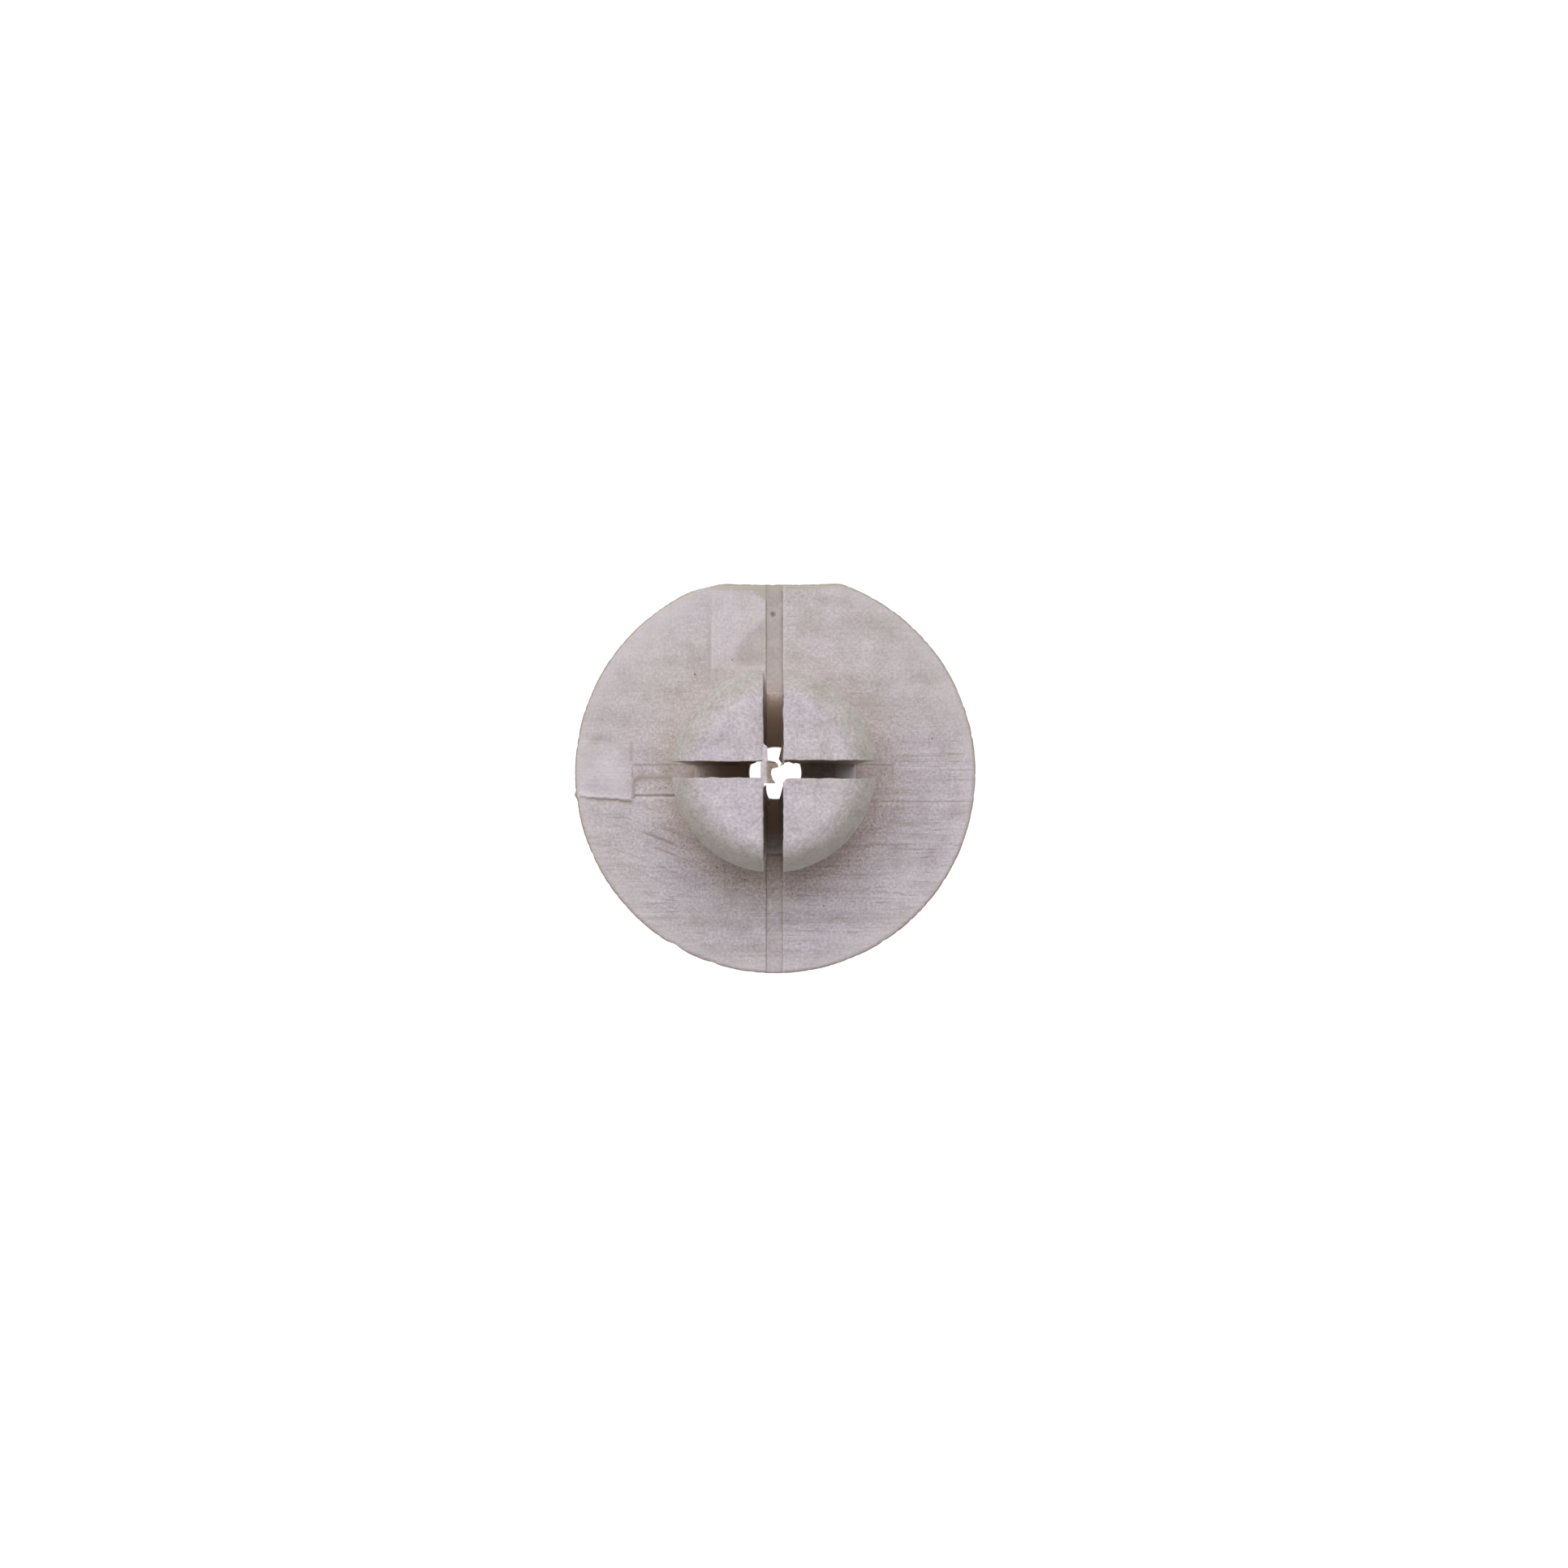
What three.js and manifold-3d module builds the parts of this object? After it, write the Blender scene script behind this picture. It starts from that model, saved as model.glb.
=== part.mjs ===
// A flanged expansion plug for a drilled wall hole, moulded in one shot of grey plastic.
// Millimetres, +Z up. The plug stands on the head side of its flange with its split nose up,
// and the origin is the middle of that head face.
import * as THREE from "three";
import { mergeVertices } from "three/addons/utils/BufferGeometryUtils.js";
import Module from "manifold-3d";

// Flange: a round plate with one flat on its +Y side.
const FLANGE_RADIUS = 10;
const FLANGE_THICKNESS = 2;
const RIM_ROUND = 0.25;
const FLAT_DISTANCE = 9.47; // from the axis to the flat
const FLAT_FILLET = 1.5; // where the flat runs into the round rim
const BEVEL_WIDTH = 0.34; // the trimmed edge along the flat, on the shank side
const BEVEL_DROP = 0.16;
const BAND_WIDTH = 0.82; // the shallow grooves that the slot blades leave in the shank-side face
const BAND_DEPTH = 0.08;
const BAND_OFFSET = -0.1; // the long groove lies a little to -X of the axis
const SIDE_BAND_REACH = { left: 7.1, right: 5.9 }; // how far the cross grooves run out from the axis

// Bore for the screw: a lead-in, a straight stretch and a taper that ends inside the legs.
const BORE_RADIUS = 1.33;
const LEAD_RADIUS = 2.2;
const LEAD_DEPTH = 0.9;
const BORE_STRAIGHT_END = 4.1;
const BORE_TAPER_END = 9.5;
const BORE_TAPER_RADIUS = 0.55;
const BORE_POINT = 10.3;

// Shank: a solid root, four thin hinge zones and four legs that end in a blunt nose.
const SHANK_RADIUS = 4;
const SHANK_LENGTH = 12;
const ROOT_HEIGHT = 0.6;
const PAD_RADIUS = 4.25; // the low pad that the shank stands on, just wider than the nose
const PAD_HEIGHT = 0.05;
const HINGE_HEIGHT = 1.2;
const SLOT_WIDTH_X = 0.8; // the slot that runs along Y
const SLOT_WIDTH_Y = 0.67; // the slot that runs along X
const BARB_RISE = 0.18;
const BARB_STEEP = 0.25; // the short side of each barb, which faces the flange
const BARB_PITCH = 1.9;
const BARB_STARTS = [5, 6.9, 8.8];
const NOSE_RADIUS = 4.2;
const NOSE_START = 11.1; // where the full nose radius begins
const TIP_RADIUS = 3;
const NOSE_SLOPES = [22, 78]; // degrees from level, at the tip face and at the nose's full radius

// Film of plastic left across one slot at the tip.
const FILM_THICKNESS = 0.15;
const FILM_DEPTH = 1.3;
const FILM_SETBACK = 0.02;

const RIM_POINTS = 96;
const FILLET_POINTS = 5;
const TURN_SEGMENTS = 72;
const NOSE_POINTS = 6;
const BEYOND = 1; // how far cutters stand past what they cut

const PAD_TOP = FLANGE_THICKNESS + PAD_HEIGHT;
const ROOT_TOP = FLANGE_THICKNESS + ROOT_HEIGHT;
const HINGE_TOP = ROOT_TOP + HINGE_HEIGHT;
const TIP_Z = FLANGE_THICKNESS + SHANK_LENGTH;

const wasm = await Module();
wasm.setup();

const plastic = new THREE.MeshStandardMaterial({ color: 0xb9b1b2, roughness: 0.55, metalness: 0 });

function solidOf(geometry) {
  const bare = geometry.index ? geometry.toNonIndexed() : geometry.clone();
  bare.deleteAttribute("normal");
  bare.deleteAttribute("uv");
  const merged = mergeVertices(bare, 1e-4);
  return new wasm.Manifold(
    new wasm.Mesh({
      numProp: 3,
      vertProperties: merged.attributes.position.array,
      triVerts: new Uint32Array(merged.index.array),
    }),
  );
}

function meshOf(name, solid) {
  const { vertProperties, triVerts } = solid.getMesh();
  const geometry = new THREE.BufferGeometry();
  geometry.setAttribute("position", new THREE.BufferAttribute(vertProperties, 3));
  geometry.setIndex(new THREE.BufferAttribute(triVerts, 1));
  geometry.computeVertexNormals();
  const mesh = new THREE.Mesh(geometry, plastic);
  mesh.name = name;
  return mesh;
}

// A solid of revolution about Z, from [radius, z] points that start and end on the axis.
function turned(points) {
  const profile = points.map(([r, z]) => new THREE.Vector2(r, z));
  return solidOf(new THREE.LatheGeometry(profile, TURN_SEGMENTS).rotateX(Math.PI / 2));
}

function block([x0, y0, z0], [x1, y1, z1]) {
  const box = new THREE.BoxGeometry(x1 - x0, y1 - y0, z1 - z0);
  box.translate((x0 + x1) / 2, (y0 + y1) / 2, (z0 + z1) / 2);
  return solidOf(box);
}

function arc(cx, cy, radius, from, to, count) {
  return Array.from({ length: count + 1 }, (_, i) => {
    const angle = from + ((to - from) * i) / count;
    return new THREE.Vector2(cx + radius * Math.cos(angle), cy + radius * Math.sin(angle));
  });
}

// The flange's outline: the round rim, and a flat whose two ends run into it on fillets.
function flangeOutline(inset) {
  const radius = FLANGE_RADIUS - inset;
  const fillet = FLAT_FILLET - inset;
  const reach = radius - fillet;
  const filletY = FLAT_DISTANCE - FLAT_FILLET;
  const filletX = Math.sqrt(reach ** 2 - filletY ** 2);
  const joint = Math.atan2(filletY, filletX);
  const up = Math.PI / 2;
  return [
    ...arc(0, 0, radius, Math.PI - joint, 2 * Math.PI + joint, RIM_POINTS),
    ...arc(filletX, filletY, fillet, joint, up, FILLET_POINTS).slice(1),
    ...arc(-filletX, filletY, fillet, up, Math.PI - joint, FILLET_POINTS).slice(0, -1),
  ];
}

function flangeBlank() {
  const plate = new THREE.ExtrudeGeometry(new THREE.Shape(flangeOutline(RIM_ROUND)), {
    depth: FLANGE_THICKNESS - 2 * RIM_ROUND,
    bevelThickness: RIM_ROUND,
    bevelSize: RIM_ROUND,
    bevelSegments: 3,
  });
  return solidOf(plate.translate(0, 0, RIM_ROUND));
}

// A long three-sided bar that planes the shank-side edge of the flat to a slope.
function bevelCutter() {
  const side = new THREE.Shape();
  side.moveTo(-BEVEL_WIDTH, 0);
  side.lineTo(BEVEL_WIDTH, -2 * BEVEL_DROP);
  side.lineTo(BEVEL_WIDTH, BEVEL_DROP);
  side.lineTo(-BEVEL_WIDTH, BEVEL_DROP);
  const length = 2 * FLANGE_RADIUS;
  const bar = new THREE.ExtrudeGeometry(side, { depth: length, bevelEnabled: false });
  bar.rotateX(Math.PI / 2);
  bar.rotateZ(Math.PI / 2);
  bar.translate(-length / 2, FLAT_DISTANCE, FLANGE_THICKNESS);
  return solidOf(bar);
}

function bandCutters() {
  const floor = FLANGE_THICKNESS - BAND_DEPTH;
  const top = FLANGE_THICKNESS + BEYOND;
  const half = BAND_WIDTH / 2;
  const edge = FLANGE_RADIUS + BEYOND;
  const { left, right } = SIDE_BAND_REACH;
  return [
    block([BAND_OFFSET - half, -edge, floor], [BAND_OFFSET + half, edge, top]),
    block([-left, -half, floor], [right, half, top]),
  ];
}

function boreCutter() {
  const leadSlope = (LEAD_RADIUS - BORE_RADIUS) / LEAD_DEPTH;
  return turned([
    [0, -BEYOND],
    [LEAD_RADIUS + BEYOND * leadSlope, -BEYOND],
    [BORE_RADIUS, LEAD_DEPTH],
    [BORE_RADIUS, BORE_STRAIGHT_END],
    [BORE_TAPER_RADIUS, BORE_TAPER_END],
    [0, BORE_POINT],
  ]);
}

function barbProfile() {
  return BARB_STARTS.flatMap((z) => [
    [SHANK_RADIUS, z],
    [SHANK_RADIUS + BARB_RISE, z + BARB_STEEP],
    [SHANK_RADIUS, z + BARB_PITCH],
  ]).filter(([, z], i, all) => i === 0 || z > all[i - 1][1]);
}

// The nose is one arc between the flat tip face and the shank's full radius.
function noseProfile() {
  const [tipSlope, sideSlope] = NOSE_SLOPES.map(THREE.MathUtils.degToRad);
  const radius = (NOSE_RADIUS - TIP_RADIUS) / (Math.sin(sideSlope) - Math.sin(tipSlope));
  return Array.from({ length: NOSE_POINTS + 1 }, (_, i) => {
    const slope = sideSlope + ((tipSlope - sideSlope) * i) / NOSE_POINTS;
    return [
      TIP_RADIUS + radius * (Math.sin(slope) - Math.sin(tipSlope)),
      TIP_Z - radius * (Math.cos(tipSlope) - Math.cos(slope)),
    ];
  });
}

function shankBlank() {
  return turned([
    [0, PAD_TOP],
    [SHANK_RADIUS, PAD_TOP],
    ...barbProfile(),
    [NOSE_RADIUS, NOSE_START],
    ...noseProfile(),
    [0, TIP_Z],
  ]);
}

// One quarter of the shank between two heights, on the side given by the signs of x and y.
function quarter(shank, signX, signY, z0, z1) {
  const wide = NOSE_RADIUS + BEYOND;
  const xs = [signX * (SLOT_WIDTH_X / 2), signX * wide].sort((a, b) => a - b);
  const ys = [signY * (SLOT_WIDTH_Y / 2), signY * wide].sort((a, b) => a - b);
  return shank.intersect(block([xs[0], ys[0], z0], [xs[1], ys[1], z1]));
}

// The solid disc of the flange under the shank, which rises above the face as a low pad.
function shankPad() {
  return turned([
    [0, 0],
    [PAD_RADIUS, 0],
    [PAD_RADIUS, PAD_TOP],
    [0, PAD_TOP],
  ]);
}

function flange(bore) {
  const cutters = [bevelCutter(), ...bandCutters()];
  const plate = cutters.reduce((solid, cutter) => solid.subtract(cutter), flangeBlank());
  return plate.add(shankPad()).subtract(bore);
}

function rootCollar(shank) {
  const wide = SHANK_RADIUS + BEYOND;
  return shank.intersect(block([-wide, -wide, PAD_TOP], [wide, wide, ROOT_TOP]));
}

function tipWeb() {
  const x1 = -SLOT_WIDTH_X / 2;
  const y = SLOT_WIDTH_Y / 2;
  const z1 = TIP_Z - FILM_SETBACK;
  return block([x1 - FILM_THICKNESS, -y, z1 - FILM_DEPTH], [x1, y, z1]);
}

const bore = boreCutter();
const shank = shankBlank().subtract(bore);

// Legs are numbered anticlockwise, seen from the nose, from the +X +Y quarter.
const QUARTERS = [
  [1, 1],
  [-1, 1],
  [-1, -1],
  [1, -1],
];

const group = new THREE.Group();
group.add(meshOf("flange", flange(bore)));
group.add(meshOf("root_collar", rootCollar(shank)));
QUARTERS.forEach(([signX, signY], i) => {
  const root = quarter(shank, signX, signY, ROOT_TOP, HINGE_TOP);
  const leg = quarter(shank, signX, signY, HINGE_TOP, TIP_Z + BEYOND);
  group.add(meshOf(`leg_root_${i + 1}`, root));
  group.add(meshOf(`leg_${i + 1}`, leg));
});
group.add(meshOf("tip_web", tipWeb()));

export default group;
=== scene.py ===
"""The looks of a flanged expansion plug: one moulding in worn grey plastic, standing on its head.

Lengths in this script are millimetres, and MM turns them into metres.
The legs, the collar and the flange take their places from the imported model's boxes.
"""

import math

import bmesh
import bpy
import numpy as np
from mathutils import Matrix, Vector, noise

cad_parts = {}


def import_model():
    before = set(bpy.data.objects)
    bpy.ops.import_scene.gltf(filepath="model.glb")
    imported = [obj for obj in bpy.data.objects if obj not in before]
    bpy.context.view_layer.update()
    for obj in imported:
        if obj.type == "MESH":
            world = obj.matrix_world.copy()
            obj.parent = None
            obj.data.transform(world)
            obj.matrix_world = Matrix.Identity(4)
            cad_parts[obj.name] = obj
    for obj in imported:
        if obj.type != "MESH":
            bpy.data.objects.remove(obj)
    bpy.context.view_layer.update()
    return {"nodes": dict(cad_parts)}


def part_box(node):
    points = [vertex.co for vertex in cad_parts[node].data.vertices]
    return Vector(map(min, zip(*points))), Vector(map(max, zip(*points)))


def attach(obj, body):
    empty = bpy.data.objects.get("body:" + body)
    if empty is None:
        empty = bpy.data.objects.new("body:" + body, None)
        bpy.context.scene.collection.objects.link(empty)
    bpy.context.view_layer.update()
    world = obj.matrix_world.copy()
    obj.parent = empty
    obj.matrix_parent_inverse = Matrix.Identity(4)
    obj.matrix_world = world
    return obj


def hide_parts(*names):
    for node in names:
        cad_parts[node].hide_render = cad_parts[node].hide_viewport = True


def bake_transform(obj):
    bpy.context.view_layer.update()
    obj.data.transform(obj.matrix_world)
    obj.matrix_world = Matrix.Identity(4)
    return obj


MM = 0.001

# An edge that turns by more than this many degrees is drawn sharp.
TOOL_CREASE = 35
FLANGE_CREASE = 32
COLLAR_CREASE = 40
LEG_CREASE = 38
SHEET_CREASE = 50
SLIVER_CREASE = 60

# Flange, seen from the shank side.
FLANGE_TOP = 2.0
RIM_RADIUS = 9.998
RIM_ROUND = 0.25
RIM_STEPS = 6
RIM_POINTS = 900
RIM_WAVER = 0.028
RIM_ROUGH = 0.042  # the finer unevenness of the rim
# Bites out of the rim: x, y, width, depth. The first one, the gate seam's nub, stands out instead.
RIM_NICKS = [
    (-9.94, -1.08, 0.14, -0.075),
    (-5.0, -8.6, 0.35, 0.09),
    (-3.1, -9.5, 0.2, 0.04),
    (9.1, 3.9, 0.3, 0.03),
]
FLAT_MIDDLE = 9.41  # the flat is a little hollow, and stands this far from the axis
FLAT_HOLLOW = 0.006
TRIM_LINE = (10.1, 0.24)  # the trimmed corner at the flat's left end: height over the axis, lean
CORNER_BLEND = 0.03
BEVEL_WIDTH = 0.36
BEVEL_DROP = 0.1
CHIP_LEFT = -1.16  # beside the groove a chip widens the trimmed edge, as far as CHIP_RIGHT
CHIP_RIGHT = -0.44
GRID_REACH = 10.6
GRID_STEP = 0.13
EDGE_STEPS = (-0.06, -0.025, 0.0, 0.025, 0.06)
STEP_LINES = (-0.02, 0.0, 0.02)  # the grid's lines round the step right of the shank

# Marks in the flange's shank-side face. A rectangle is left, right, bottom and top.
FAR = 12  # past the flange's edge on every side
GROOVE = (-0.45, 0.355)
GROOVE_DEPTH = 0.07
CROSS_BAND = (-7.1, 5.85, -0.41, 0.41)
CROSS_DEPTH = 0.035
GATE_SEAM = [
    (-10.1, -1.12),
    (-9.9, -1.2),
    (-9.0, -1.31),
    (-8.0, -1.36),
    (-7.4, -1.43),
    (-7.1, -1.5),
]
SEAM_END = -7.15
GATE = (-10.5, -7.13, -1.3, 1.58)
GATE_RIGHT, GATE_TOP = GATE[1], GATE[3]
TAB = (-6.97, -4.6, -1.12, -0.29)
TAB_TURN = 0.32  # the radius of the border's bend round the tab's corner
RIGHT_STEP_Y = -1.44
PANEL = (-3.15, GROOVE[0], 5.2, 9.05)  # a paler panel, with a line along its left side
PANEL_LINE = -3.2
SMUDGE = (-1.95, GROOVE[0], 5.3, 7.6)
# The grid of the face has closer lines at these places.
CLOSE_X = [*GROOVE, GATE_RIGHT, TAB[0], CROSS_BAND[1], PANEL_LINE, -1.1]
CLOSE_Y = [TAB[2], TAB[3], -0.41, 0.41, GATE[2], GATE_TOP, 9.1, 8.7]

# Straight lines on the face: the axis that a line crosses, where it crosses it, its width,
# its height or strength, and where it starts and ends along the other axis.
FACE_LINES = [
    (0, GROOVE[1] + 0.05, 0.04, 0.018, (-FAR, FAR)),
    (0, GROOVE[0] - 0.05, 0.04, 0.010, (-FAR, FAR)),
    (0, GATE_RIGHT, 0.045, -0.035, (0.5, GATE_TOP)),
    (0, CROSS_BAND[1], 0.04, -0.018, (-1.42, 1.42)),
    (0, PANEL_LINE, 0.04, -0.014, (4.9, 7.4)),
    (1, TAB[2] - 0.01, 0.04, -0.05, TAB[:2]),
    (1, RIGHT_STEP_Y, 0.035, -0.022, (4.5, FAR)),
]
STAIN_LINES = [
    (0, GATE_RIGHT, 0.06, 0.9, (0.5, GATE_TOP)),
    (0, CROSS_BAND[1], 0.10, 0.15, (-1.45, 1.45)),
    (1, TAB[2], 0.06, 1.0, TAB[:2]),
    (1, RIGHT_STEP_Y, 0.05, 0.5, (4.8, FAR)),
]
# Painted highlights: the first line along the groove's right edge, and the two along the tab's
# lower edge.
PAINTED_HIGHLIGHT_LINES = [
    (0, GROOVE[1] + 0.06, 0.05, 0.35, (-FAR, FAR)),
    (1, TAB[2] + 0.15, 0.07, 0.7, TAB[:2]),
    (1, TAB[2] - 0.14, 0.05, 0.5, TAB[:2]),
]

# Round spots on the face: x, y, size, strength.
PALE_SPOTS = [
    (-5.6, 7.0, 1.3, 0.34),
    (-6.9, 5.6, 1.2, 0.30),
    (-4.3, 8.2, 0.8, 0.25),
    (-8.3, 4.2, 0.9, 0.25),
    (-8.4, 0.3, 0.8, 0.35),
    (-7.9, -0.4, 0.5, 0.30),
    (6.3, 4.4, 1.1, 0.20),
    (8.2, 3.1, 0.8, 0.18),
    (3.1, 7.6, 1.2, 0.18),
    (6.1, -6.1, 0.7, 0.25),
    (-3.6, -7.2, 1.4, 0.10),
    (-7.0, -5.2, 0.9, 0.15),
]
# The wide spot at (-4.4, 3.8) is painted shade over the face's upper left; the others are stains.
STAIN_AND_SHADE_SPOTS = [
    (-9.95, -1.1, 0.14, 3.0),
    (-4.4, 3.8, 2.3, 0.22),
    (-9.25, 0.3, 0.35, 0.40),
    (-8.9, -0.6, 0.35, 0.35),
    (-9.3, -0.7, 0.25, 0.40),
    (-8.2, -1.0, 0.30, 0.30),
    (-8.9, -1.9, 0.50, 0.35),
    (5.3, 0.0, 0.9, 0.30),
    (-5.4, 1.0, 0.9, 0.25),
    (3.4, 6.9, 0.7, 0.25),
    (6.3, 6.2, 1.2, 0.18),
    (-3.0, 5.0, 0.5, 0.35),
    (6.9, -2.6, 1.3, 0.15),
]
SCRATCHED = [(-5.8, -3.2, 2.0, 1.3)]
# Dark specks: x, y, size.
SPECKS = [
    (7.79, 1.71, 0.055),
    (5.41, -0.09, 0.06),
    (-0.12, 7.90, 0.17),
    (-4.0, 4.9, 0.06),
    (-5.45, -0.72, 0.05),
    (-2.9, -4.7, 0.06),
    (-2.6, -4.6, 0.05),
    (-1.5, -5.3, 0.06),
    (0.85, -6.0, 0.05),
    (2.4, -6.6, 0.05),
    (0.30, 9.05, 0.05),
    (-2.15, 5.62, 0.05),
]

# The bore, and how it opens out at the head: radius, height.
BORE_RADIUS = 1.3
HOLE = [(BORE_RADIUS + 0.9, -1.0), (BORE_RADIUS, 0.9), (BORE_RADIUS, 3.0)]
HOLE_SIDES = 96

# Shank and legs.
SHANK_RADIUS = 4.0
COLLAR_FOOT = [(0.1, 1.85), (0.1, 1.9), (0.02, 2.0), (0.0, 2.06), (0.0, 2.3)]  # stands out, height
COLLAR_ROUND = 0.12
COLLAR_RING_STEP = 0.12
COLLAR_COLUMNS = 240
COLLAR_UNEVEN = 0.012
# The bore's radius at each height between the legs.
BORE_PROFILE = [
    (0, 1.28),
    (4.1, 1.28),
    (6.6, 1.1),
    (9.2, 0.92),
    (12.6, 0.78),
    (13.3, 0.5),
    (20, 0.4),
]
BARB_RISE = 0.17
BARB_STARTS = [5.0, 6.9, 8.8]
BARB_STEEP = 0.25
BARB_PITCH = 1.9
NOSE_RADIUS = 4.19
NOSE_START = 11.1
NOSE_ARC = 1.77  # the radius of the nose's rounding
NOSE_SLOPES = (22.0, 78.0)  # its slope where the tip face ends, and at the shoulder
TIP_RADIUS = 2.9
TIP_SOFTENING = 0.3
SHOULDER_SOFTENING = 0.12
SINK = 0.05  # how far a leg's foot stands in the collar
EDGE_ROUND = 0.035
WORN_ROUND = 0.085  # the wider rounding of the slot walls that face +X
# By leg: how near the axis its inner corner comes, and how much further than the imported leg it
# stands from the middle of the horizontal slot.
CORNER_RADII = {1: 0.54, 2: 0.54, 3: 0.54, 4: 0.62}
SLOT_SHIFTS = {1: 0.07, 2: 0.035, 3: -0.04, 4: -0.01}
LEG_COLUMNS = 46
END_SHARES = [0, 0.003, 0.008, 0.014, 0.022, 0.034]  # the closer columns at each end
TIP_RINGS = 30
WALL_STEP = 0.14
ON_WALL = 0.03  # a point this near a slot's wall counts as on it
RAG_WIDTH = 0.12  # how far from a slot's wall, and how far down it, its edge is ragged
RAG_DEPTH = 0.9
RAG_END = 4.05
TIP_UNEVEN = 0.006
TIP_GAP = 0.007
LEG_SIDES = {1: (1, 1), 2: (-1, 1), 3: (-1, -1), 4: (1, -1)}

# Flash beside the bore: the leg, the axis that its slot wall faces, the flash's ends along the
# wall, how far it stands out from one end to the other, and its depths below the tip.
FINS = [
    (1, 0, (0.30, 1.3), (0.05, 0.19, 0.14, 0.09, 0.06, 0.05), (0.4, 4.5)),
    (1, 1, (0.44, 1.4), (0.08, 0.03, 0.11, 0.07, 0.10, 0.06), (0.35, 3.0)),
    (3, 0, (0.62, 1.5), (0.0, 0.01, 0.07, 0.17, 0.2), (4.5, 10.0)),
    (4, 0, (0.58, 1.5), (0.0, 0.06, 0.12, 0.19, 0.2), (4.5, 10.0)),
]

# The torn skin's free edge: (how far along the slot, how far across it).
SKIN_EDGE = [
    (-0.52, 0.10),
    (-0.35, -0.03),
    (-0.12, -0.094),
    (0.0, -0.075),
    (0.09, -0.02),
    (0.12, 0.215),
    (0.25, 0.186),
    (0.36, 0.07),
    (0.40, -0.215),
    (0.95, -0.24),
    (1.1, -0.41),
]
SKIN_ENDS = (-0.52, 1.12)
SKIN_MIDDLE = 0.34  # the middle stretch of the skin starts further over than its ends
SKIN_CREST = (-0.43, -0.505)  # where the skin starts across the slot: at its ends, in the middle
SKIN_POINTS = (56, 22)
SKIN_FALL = (0.16, 0.8)  # the skin droops between these distances from its crest,
SKIN_LEVEL = 0.40  # but from here on it stays level
SKIN_DROOP = 0.5
SKIN_THICKNESS = 0.07

FIN_SINK = 0.03  # how far a fin's root is inside the leg
FIN_COUNT = 24
SPIKE_POINT = (0.11, 0.17, 0.3)  # how far off the slot's wall, how far along it, and below the tip
SPIKE_WIDTH = 0.055
SPIKE_RINGS = 9

# The camera looks straight down on the nose from close by.
CAMERA_PLACE = (0.434, -0.547, 64.0)
CAMERA_LENS = 28.66
CAMERA_SENSOR = 36.0

WORLD_GREY = 0.04
FLOOR_HALF = 1500.0
FLOOR_GAP = 0.02
LIGHT_DISTANCE = 400.0
LIGHT_RADIUS_DEGREES = 12.0
LILAC_LIGHT = (1.0, 0.985, 1.02)
WARM_LIGHT = (1.0, 0.98, 0.92)
# Soft lights: tilt from the zenith, direction round from +X, strength, colour.
LIGHTS = [
    (18, 90, 0.262, LILAC_LIGHT),
    (18, 130, 0.158, LILAC_LIGHT),
    (18, 50, 0.188, LILAC_LIGHT),
    (18, 180, 0.152, LILAC_LIGHT),
    (54, 90, 0.018, WARM_LIGHT),
    (72, 90, 0.024, WARM_LIGHT),
    (72, 130, 0.052, WARM_LIGHT),
    (72, 50, 0.032, WARM_LIGHT),
    (72, 180, 0.028, WARM_LIGHT),
]
FLOOR_GLOW = 1.02
FLOOR_REFLECTION = 0.1
GLOW_EDGE = (58, 95)  # the floor glows evenly out to the first distance and fades by the second
GLOW_BEYOND = 0.12


def smoothstep(low, high, value):
    t = np.clip((value - low) / (high - low), 0, 1)
    return t * t * (3 - 2 * t)


def waver(points, scale, seed):
    """Smooth noise from about -1 to 1 at each point."""
    shift = Vector((13.7 * seed, -7.1 * seed, 3.3 * seed))
    return np.array([noise.noise(Vector(p) * scale + shift) for p in points])


def object_of(name, points, faces, sharp_degrees):
    """A smooth-shaded mesh object from points in millimetres, with its sharper edges kept."""
    mesh = bpy.data.meshes.new(name)
    mesh.from_pydata([tuple(p) for p in np.asarray(points) * MM], [], faces)
    body = bmesh.new()
    body.from_mesh(mesh)
    bmesh.ops.remove_doubles(body, verts=body.verts, dist=1e-7)
    bmesh.ops.recalc_face_normals(body, faces=body.faces)
    finish_mesh(body, mesh, sharp_degrees)
    made = bpy.data.objects.new(name, mesh)
    bpy.context.scene.collection.objects.link(made)
    return made


def finish_mesh(body, mesh, sharp_degrees):
    for face in body.faces:
        face.smooth = True
    for edge in body.edges:
        edge.smooth = edge.calc_face_angle(0) < math.radians(sharp_degrees)
    body.to_mesh(mesh)
    body.free()


def corners_of(obj):
    """The mesh's points in millimetres."""
    flat = np.zeros(len(obj.data.vertices) * 3, np.float32)
    obj.data.vertices.foreach_get("co", flat)
    return flat.reshape(-1, 3).astype(float) / MM


def shade(obj, **layers):
    """Stores how strong each layer is at each point, for the plastic to read: stains and worn
    spots, and also painted shade and painted highlights.
    """
    for name, values in layers.items():
        layer = obj.data.attributes.new(name, "FLOAT", "POINT")
        layer.data.foreach_set("value", np.asarray(values, np.float32))


# ---------------------------------------------------------------- plastic


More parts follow.
